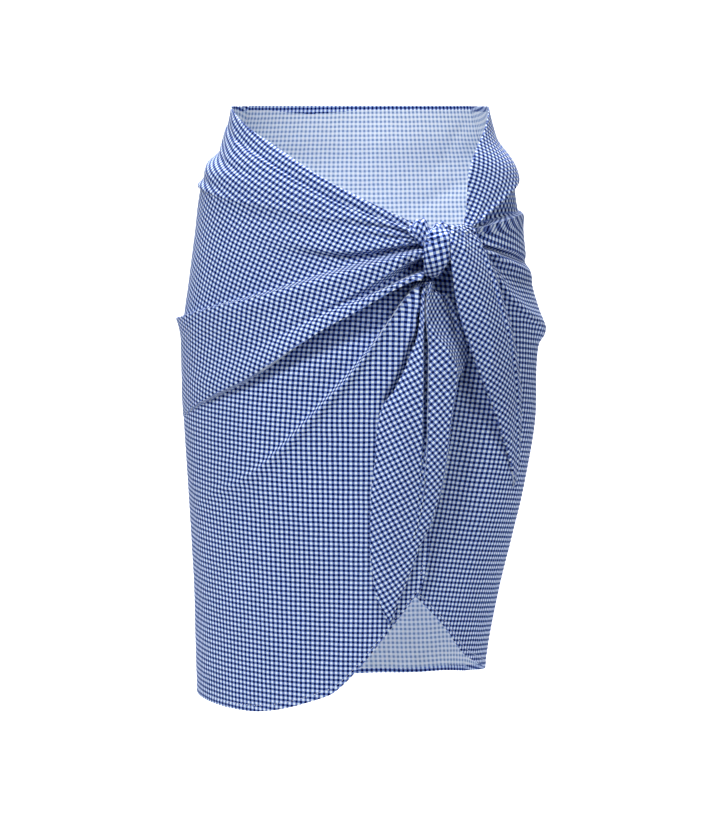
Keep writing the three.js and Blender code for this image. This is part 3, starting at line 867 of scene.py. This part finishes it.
longTail = {
    "columns": 64, "rowsPerLine": 9,
    "grain": [(0, 30), (1, 30)],
    "wrinkles": table("angle z toAngle toZ height width", [
        [38, 6, 42.5, -16, -1.6, 2.0],
        [36.5, 6, 40.5, -18, 1.2, 2.2],
        [41, -20, 47, -70, 1.0, 3],
        [31, -4, 32, -30, 1.0, 3],
        [36, -60, 42, -140, 0.9, 6],
    ]),
    "pinch": {"x": 104, "z": 12, "spokes": 13, "depth": 0.6, "reach": 40},
    "rows": table("z left right leftLift rightLift crown roll", [
        [2, 91.5, 108, 8, 4, 0, 0],
        [10, 91.5, 111, 14, 8, 0.5, 0],
        [12.5, 91.5, 114, 20, 12, 1, 0],
        [9, 91.5, 117, 27, 15, 1.5, 0.2],
        [0, 91.5, 121.5, 32, 17, 2.5, 0.5],
        [-8, 92, 126, 34, 18.5, 3, 0.8],
        [-26, 93, 134, 32, 19, 5, 1.2],
        [-48, 95.5, 142, 28, 18, 6, 1.6],
        [-68, 99, 148, 24, 17, 6, 2],
        [-90, 105, 155, 21, 16.5, 5, 2],
        [-115, 114, 161, 18, 14, 4, 2],
        [-140, 123, 165, 15, 11, 4, 2],
        [-167, 134, 168, 11, 8, 3, 1.6],
        [-200, 145, 168, 8, 6, 2, 1],
        [-232, 155, 167, 5, 4.5, 1, 0.5],
        [-254, 160, 165, 4, 4, 0.5, 0],
        [-263, 161, 163.5, 4, 4, 0, 0],
    ]),
}
leafTail = {
    "columns": 96, "rowsPerLine": 9,
    "grain": [(0, 62), (0.4, 62), (0.62, 50), (1, 46)],
    "wrinkles": table("angle z toAngle toZ height width", [
        [25.4, -112, 26.0, -172, 1.6, 1.4],
        [23.6, -118, 24.4, -200, -0.8, 3],
        [12, -150, 10, -260, 0.8, 5],
        [17.5, -200, 15, -320, -0.7, 5],
        [19.8, -60, 18.6, -88, 1.2, 1.6],
        [24.5, -52, 30, -96, 1.4, 2.2],
        [27, -56, 33, -104, -1.4, 2.2],
    ]),
    "pinch": {"x": 74, "z": -40, "spokes": 14, "depth": 0.7, "reach": 34},
    "rows": table("z left pleat ridge right edge crown pleatDepth ridgeLift rightLift", [
        [-44, 66, 70, 73, 75, 8, 10, 0, 10, 5],
        [-53, 64, 68.5, 73, 77, 11, 14, 3, 15.5, 2],
        [-60, 62.6, 66.8, 71, 91, 12, 16, 6, 18, 0.5],
        [-78, 61.4, 66.6, 70, 100, 12.5, 17, 9, 20, -3],
        [-96, 59.5, 67.5, 76, 105, 12, 18, 11, 22, -4],
        [-108, 56, 68, 86, 109, 12, 18, 12, 22.5, -4],
        [-120, 51, 68, 93, 111, 12, 18, 12, 22.5, -4],
        [-132, 46.5, 68, 98.5, 107, 11, 18, 12, 22, 0],
        [-141, 41.5, 68, 98.8, 101.5, 10.5, 18, 12, 20.5, 10],
        [-151, 37, 67.8, 98, 99.5, 10, 18, 12, 19, 14],
        [-172, 23, 67.5, 94.6, 96, 9, 18, 11.5, 18, 13],
        [-195, 18.5, 67.2, 91.6, 93, 8, 17.5, 9, 17, 12],
        [-224, 17, 66, 89, 90, 8, 17, 3, 16, 11],
        [-256, 13, 64, 83, 84, 8, 16, 0.8, 15, 10],
        [-289, 12, 58, 73, 74, 8, 14.5, 0.4, 14, 9],
        [-312, 12, 50, 62.4, 63.2, 8, 13.5, 0, 12.5, 9],
        [-351, 15.5, 36, 48.6, 49.2, 8, 11.5, 0, 10.5, 8],
        [-363, 18, 34, 43.2, 43.7, 8, 11, 0, 10, 8],
        [-379, 24, 31, 37.4, 37.8, 8, 10.2, 0, 9.6, 8],
        [-395, 31.2, 31.8, 32.6, 32.8, 8, 9.4, 0, 9.2, 8.6],
    ]),
}


def longTailStations(row):
    width = row["right"] - row["left"]
    edge = min(3.0, width / 4)
    roll = min(4.0, width / 5)

    def slope(part):
        return row["leftLift"] + (row["rightLift"] - row["leftLift"]) * part
    # share of the columns, x and lift
    return [(0, row["left"], row["leftLift"] - 2), (0.08, row["left"] + edge, slope(0.08) + row["crown"] * 0.2),
            (0.45, row["left"] + width * 0.45, slope(0.45) + row["crown"]),
            (0.72, row["right"] - 2.2 * roll, slope(0.8) + row["crown"] * 0.4),
            (0.80, row["right"] - 1.5 * roll, slope(0.85) - row["roll"] * 0.3),
            (0.90, row["right"] - 0.7 * roll, slope(0.95) + row["roll"]),
            (1, row["right"], row["rightLift"] - 0.8 * row["roll"])]


def leafTailStations(row):
    fromLeft, toRight = row["pleat"] - row["left"], row["ridge"] - row["pleat"]
    lip, floor = min(3.0, fromLeft / 3), min(2.3, fromLeft / 5, toRight / 5)
    under, drop = row["right"] - row["ridge"], row["ridgeLift"] - row["rightLift"]
    crown, deep = row["crown"], row["pleatDepth"]
    return [(0, row["left"], row["edge"]), (0.06, row["left"] + lip, row["edge"] + 2),
            (0.26, row["left"] + fromLeft * 0.6, crown), (0.36, row["pleat"] - floor * 1.6, crown + deep * 0.12),
            (0.40, row["pleat"] - floor * 1.1, crown - deep * 0.35), (0.44, row["pleat"] - floor, crown - deep),
            (0.50, row["pleat"] + floor * 0.9, crown - deep), (0.54, row["pleat"] + floor * 0.94, crown - deep * 0.4),
            (0.57, row["pleat"] + floor * 0.98, crown - deep * 0.03), (0.60, row["pleat"] + floor * 1.6, crown),
            (0.70, row["pleat"] + toRight * 0.6, (crown + row["ridgeLift"]) / 2 + 1),
            (0.80, row["ridge"] - 0.4, row["ridgeLift"]),
            (0.88, row["ridge"] + under * 0.38, row["ridgeLift"] - drop * 0.52), (1, row["right"], row["rightLift"])]


def tailForm(tail, stationsOf):
    rows = tail["rows"]
    count = len(rows["z"])
    at = np.linspace(0, count - 1, (count - 1) * tail["rowsPerLine"] + 1)
    share = np.linspace(0, 1, tail["columns"] + 1)
    xs, lifts = [], []
    for line in range(count):
        stops = np.array(stationsOf({key: values[line] for key, values in rows.items()}))
        xs.append(curveThrough(stops[:, 0], stops[:, 1])(share))
        lifts.append(curveThrough(stops[:, 0], stops[:, 2])(share))
    lineAt = np.arange(count)
    x, lift = curveThrough(lineAt, np.array(xs))(at), curveThrough(lineAt, np.array(lifts))(at)
    z = curveThrough(lineAt, rows["z"])(at)[:, None] + 0 * x
    places, turns = zip(*tail["grain"])
    form = {"angle": angleAtX(x, z, lift), "z": z, "lift": lift,
            "grain": np.interp(share, places, turns)[None, :] + 0 * x}
    return pinched(wrinkled(form, tail["wrinkles"]), tail["pinch"])


for name, tail, stationsOf, node, flat, area in (
        ("longTailCloth", longTail, longTailStations, "long_tail", (0.13, 0.32), 0.016),
        ("leafTailCloth", leafTail, leafTailStations, "leaf_tail", (0.14, 0.40), 0.023)):
    form = tailForm(tail, stationsOf)
    outer, inner = wallPoints(form)
    weave = relaxWeave(outer, grainFromRows(form), 0 * form["angle"], noPins(form["angle"].shape))
    piece = clothPiece(name, outer, inner, weave, node)
print("hanging ends made")


# the knot: a plump band over a fan of gathers

knotBand = {
    "rows": 90, "columns": 90, "grain": -16, "sharpness": 2.5, "thickness": 0.8,
    "loops": table("x y z lean halfWidth halfThickness", [
        [84, -118, 5, 80, 6, 2],
        [83.5, -124, 7, 62, 8, 3.2],
        [82, -130.5, 4.5, 38, 10.5, 5],
        [80.2, -135.5, -1.5, 16, 12.4, 6.4],
        [79, -137.8, -10, 2, 13.2, 7],
        [78.8, -137.4, -20, -10, 13, 7],
        [76.8, -134.5, -28.5, -30, 10.6, 6.2],
        [74.4, -130, -35.5, -58, 7.4, 4],
    ]),
    "pinchX": 66.5, "pinchZ": 1, "spokes": 10, "spokeDepth": 1.5, "spokeReach": 28, "spokeFull": 0.4,
    "clear": 5, "facing": 0.6,
    "creaseZ": -3, "creaseSlope": -0.2, "creaseDepth": 0.8, "creaseWidth": 1.8,
}
knotFan = {
    "rows": 70, "columns": 150, "grain": 35, "thickness": 0.8,
    "centre": (64.5, -131, -1),  # the pinch that the gathers run to
    "crest": table("x z", [
        [47, 11], [52, 13.5], [58, 17], [62, 19.5], [65.5, 20.5], [69, 16], [73, 11], [77, 13],
        [82, 15.5], [87.5, 15.5], [91, 12.5], [94.6, 10], [100, 11], [105, 8.5], [112, 7],
    ]),
    "folds": 9, "foldDepth": 1.3, "foldSway": 0.35, "swayTurns": 9, "foldsFrom": 0.5, "depth": 11,
    "turn": (-25, 215),  # degrees from under the pinch over the top to behind
    "spread": (-70, 80),  # degrees over which the gathers open
    "pinchWidth": 16, "behindPinch": 7, "backward": 0.25,
}


def knotBandForm():
    loops = knotBand["loops"]
    count = len(loops["z"])
    at = np.linspace(0, count - 1, knotBand["rows"] + 1)
    read = {key: curveThrough(np.arange(count), values)(at)[:, None] for key, values in loops.items()}
    turn = np.linspace(-math.pi, math.pi, knotBand["columns"] + 1)[None, :]
    power = 2 / knotBand["sharpness"]
    side = np.sign(np.sin(turn)) * np.abs(np.sin(turn)) ** power
    front = np.sign(np.cos(turn)) * np.abs(np.cos(turn)) ** power
    lean = np.radians(read["lean"])

    def skinAt(grow):
        out = (read["halfThickness"] + grow) * front
        wide = (read["halfWidth"] + grow) * side
        return np.stack([read["x"] + wide, read["y"] - out * np.cos(lean), read["z"] + out * np.sin(lean)], axis=-1)
    flat = skinAt(0)
    x, z = flat[..., 0] - knotBand["pinchX"], flat[..., 2] - knotBand["pinchZ"]
    away, spoke = np.hypot(x, z), np.arctan2(z, x)
    facing = smooth(0, knotBand["facing"], front)
    reach = knotBand["spokeReach"]
    fade = smooth(0, knotBand["clear"], away) * (1 - smooth(reach * knotBand["spokeFull"], reach, away))
    grow = knotBand["spokeDepth"] * fade * facing * np.cos(knotBand["spokes"] * spoke)
    fromCrease = z + knotBand["pinchZ"] - knotBand["creaseZ"] - knotBand["creaseSlope"] * x
    grow = grow - knotBand["creaseDepth"] * facing * np.exp(-(fromCrease / knotBand["creaseWidth"]) ** 2)
    return skinAt(grow), skinAt(grow - knotBand["thickness"]), flat


def knotFanForm():
    share = np.linspace(0, 1, knotFan["columns"] + 1)[None, :]
    turn = np.radians(np.linspace(*knotFan["turn"], knotFan["rows"] + 1))[:, None]
    crest = knotFan["crest"]
    topX = crest["x"][0] + (crest["x"][-1] - crest["x"][0]) * share
    topZ = curveThrough(crest["x"], crest["z"])(topX[0])[None, :]
    px, py, pz = knotFan["centre"]
    spread = smooth(*(math.radians(degrees) for degrees in knotFan["spread"]), turn)
    pinchWidth = knotFan["pinchWidth"]
    x = px + pinchWidth * share + (topX - px - pinchWidth * share) * spread
    wave = np.cos(2 * math.pi * (knotFan["folds"] * share + knotFan["foldSway"] * np.sin(knotFan["swayTurns"] * share)))
    grow = knotFan["foldDepth"] * wave * smooth(0, knotFan["foldsFrom"], spread)
    middleY = py + knotFan["behindPinch"] + knotFan["backward"] * (x - px)

    def skinAt(more):
        deep, high = knotFan["depth"] + more, (topZ - pz) + more
        return np.stack([x + 0 * turn, middleY - deep * np.cos(turn), pz + high * np.sin(turn)], axis=-1)
    return skinAt(grow), skinAt(grow - knotFan["thickness"]), skinAt(0)


for name, (outer, inner, plain), grain, node, flat, held in (
        ("knotBandCloth", knotBandForm(), knotBand["grain"], "knot_band", (0.07, 0.06), "gathered"),
        ("knotFanCloth", [grid[::-1] for grid in knotFanForm()], knotFan["grain"], "knot_core", (0.07, 0.06),
         "gathered")):
    nought = 0 * outer[..., 0]
    weave = relaxWeave(plain, grain + nought, nought, noPins(nought.shape))
    piece = clothPiece(name, outer, inner, weave, node)
print("knot made")


# stage, light and camera

stage = {
    "floorZ": -0.80,
    "colour": (0.74, 0.74, 0.75, 1),
    "roughness": 0.9,
    "reach": 1.7,  # m to each side
    "frontY": -0.7,
    "backY": 2.6,
    "top": 2.6,
    "bend": 0.9,  # radius where the floor turns up into the backdrop
    "bendSteps": 13,
}
bend, bendY = stage["bend"], stage["backY"] - stage["bend"]
profile = [(bendY + bend * math.sin(turn), bend - bend * math.cos(turn))
           for turn in np.linspace(0, math.pi / 2, stage["bendSteps"])]
profile = [(stage["frontY"], 0.0)] + profile + [(stage["backY"], stage["top"])]
corners = [(x, y, stage["floorZ"] + z) for y, z in profile for x in (-stage["reach"], stage["reach"])]
floorMesh = bpy.data.meshes.new("floor")
floorMesh.from_pydata(corners, [], [(2 * at, 2 * at + 1, 2 * at + 3, 2 * at + 2) for at in range(len(profile) - 1)])
floorMesh.polygons.foreach_set("use_smooth", [True] * len(floorMesh.polygons))
floorMesh.materials.append(Finish("paleFloor").finish({}, {"Base Color": stage["colour"],
                                                           "Roughness": stage["roughness"]}))
show("floor", floorMesh)

studio = {
    "world": 0.07,
    "lights": [
        # name, place, aim, size, watts
        ("keyLight", (-1.2, -2.05, 2.15), (0, 0, -0.15), 0.8, 77),
        ("frontLight", (-0.6, -2.9, 1.3), (0, 0, -0.15), 1.0, 10),
        ("sideLight", (1.9, -1.7, 1.3), (0, 0, -0.15), 1.1, 21),
        ("topLight", (0.1, -0.7, 2.2), (0, 0.05, 0), 0.8, 9),
        ("backdropLight", (0.0, 1.3, 2.4), (0, 2.6, 0.0), 1.6, 230),
    ],
}
world = bpy.data.worlds.new("studioWorld")
scene.world = world
world.use_nodes = True
backdrop = world.node_tree.nodes["Background"]
backdrop.inputs["Color"].default_value = (1, 1, 1, 1)
backdrop.inputs["Strength"].default_value = studio["world"]
for name, place, aim, size, watts in studio["lights"]:
    lamp = bpy.data.lights.new(name, "AREA")
    lamp.size, lamp.energy = size, watts
    holder = show(name, lamp)
    holder.location = place
    holder.rotation_euler = (Vector(aim) - Vector(place)).to_track_quat("-Z", "Y").to_euler()

viewing = {"lens": 126.35, "sensor": 36, "far": 50, "place": (0.002, -3.0, 0.131), "down": 5.994}
camera = bpy.data.cameras.new("camera")
camera.lens, camera.sensor_width, camera.clip_end = viewing["lens"], viewing["sensor"], viewing["far"]
eye = show("camera", camera)
eye.location = viewing["place"]
eye.rotation_euler = (math.radians(90 - viewing["down"]), 0, 0)
scene.camera = eye
scene.view_settings.view_transform = "Standard"
print("stage, light and camera made")
